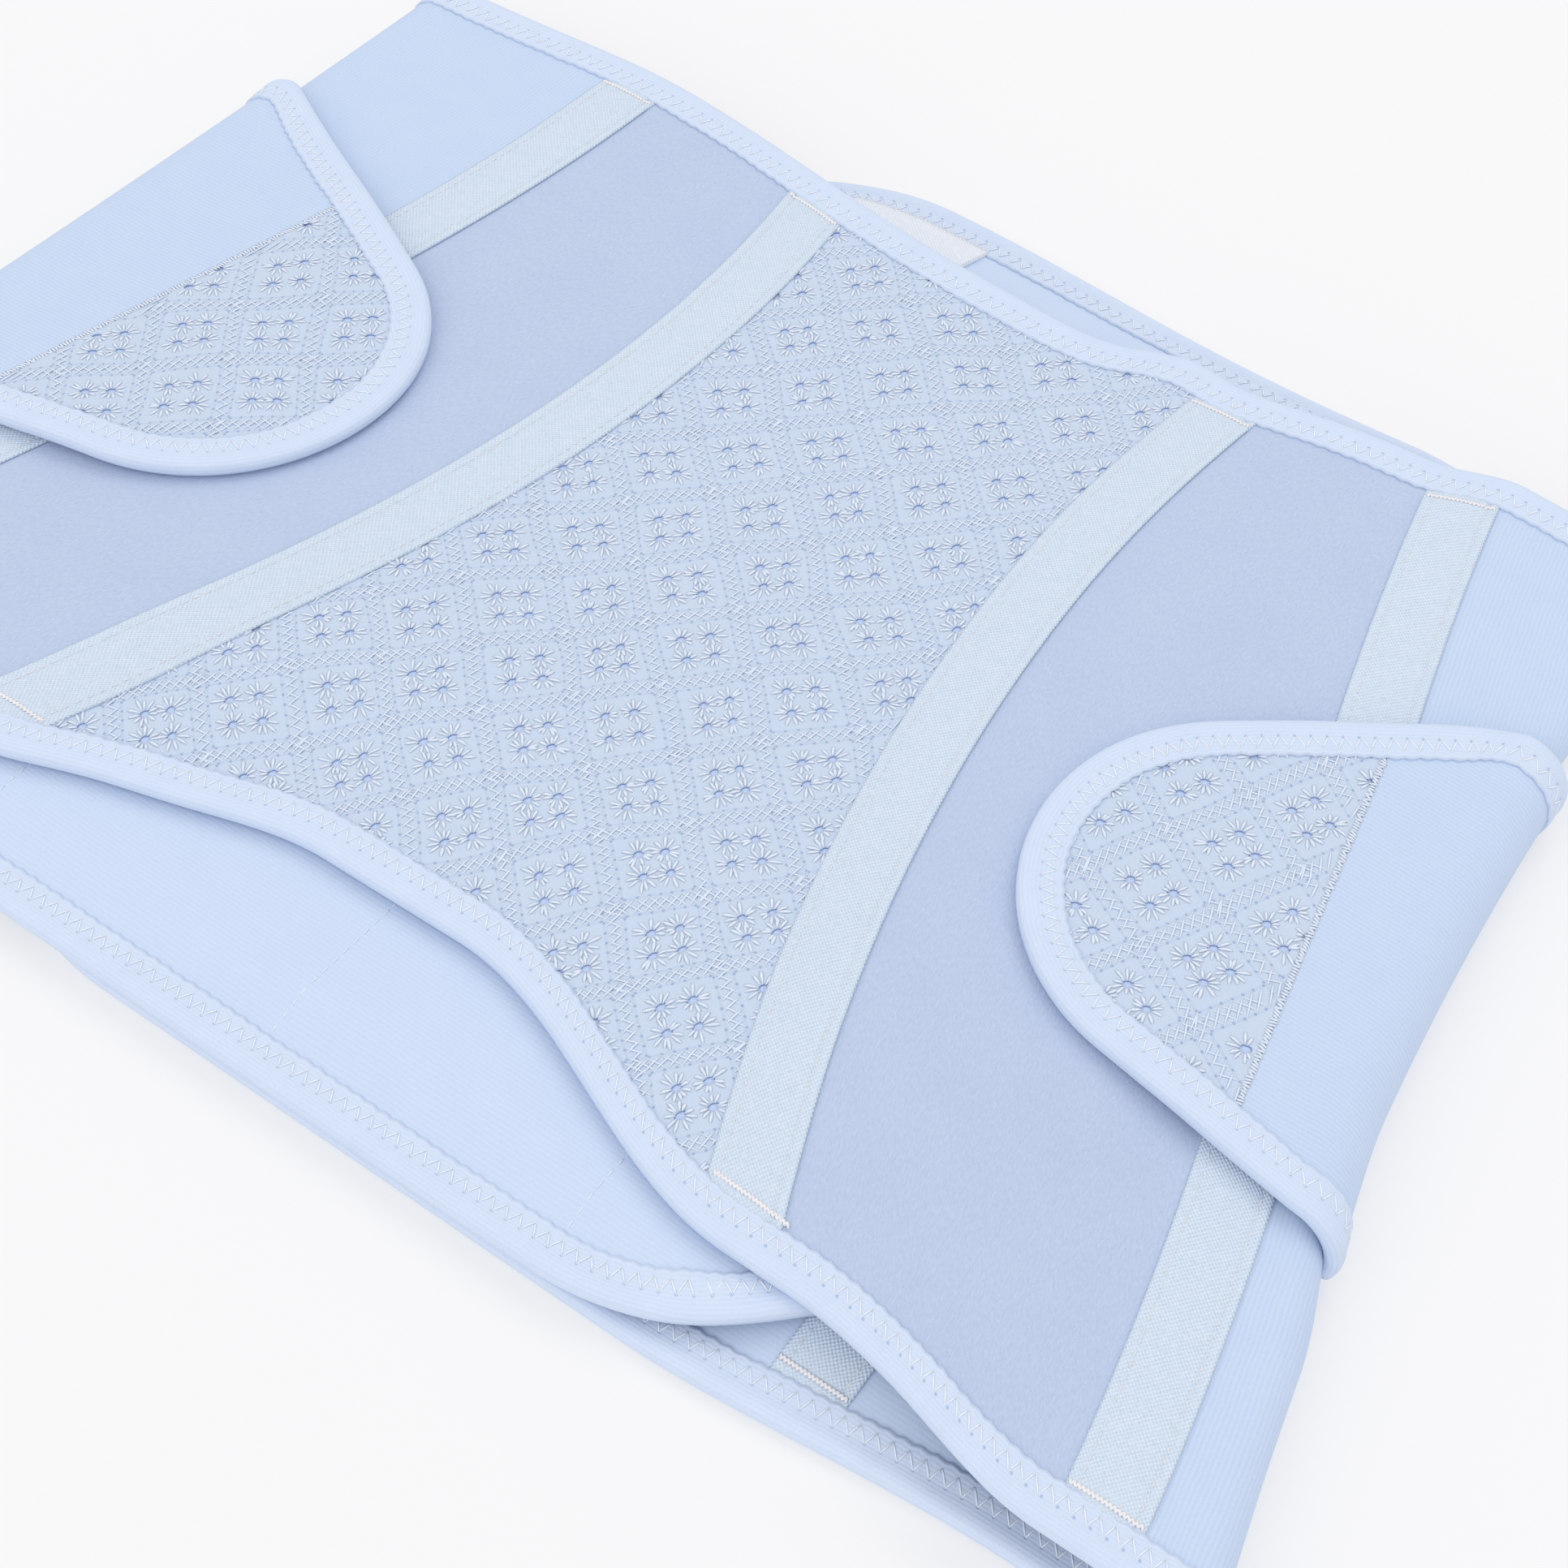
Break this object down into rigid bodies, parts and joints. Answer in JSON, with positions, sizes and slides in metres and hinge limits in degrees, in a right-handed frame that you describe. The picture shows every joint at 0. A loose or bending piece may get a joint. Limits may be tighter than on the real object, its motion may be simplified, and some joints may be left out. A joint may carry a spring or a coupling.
{
  "type": "postpartum belly band",
  "caption": "soft postpartum belly band lying closed with its front up: eyelet-lace front between boned tapes, side loop panels with fastening wings, and two overlapped back flaps",
  "frame": {"origin": "centre front, on the table, on the underside of the outer flap", "axes": "+X along the waist towards the picture's right, +Y up the body, +Z out of the front, up from the table"},
  "size_m": [0.3536, 0.2571, 0.0228],
  "materials": {
    "jersey": "matte knitted jersey",
    "loop": "brushed loop pile",
    "lace": "embroidered eyelet cloth",
    "tape": "woven satin tape",
    "hook": "fine moulded hook tape"
  },
  "bodies": {
    "root": {"lace_panel": "lace", "left_loop_panel": "loop", "right_loop_panel": "loop", "left_side_and_inner_flap": "jersey", "right_side_and_outer_flap": "jersey", "front_top_binding": "jersey", "front_bottom_binding": "jersey", "inner_flap_binding": "jersey", "outer_flap_binding": "jersey", "hook_tape": "hook", "outer_flap_tape": "tape", "left_outer_tape": "tape", "left_inner_tape": "tape", "right_inner_tape": "tape", "right_outer_tape": "tape", "left_wing": "jersey", "left_wing_lace": "lace", "left_wing_binding": "jersey", "right_wing": "jersey", "right_wing_lace": "lace", "right_wing_binding": "jersey"}
  },
  "joints": []
}
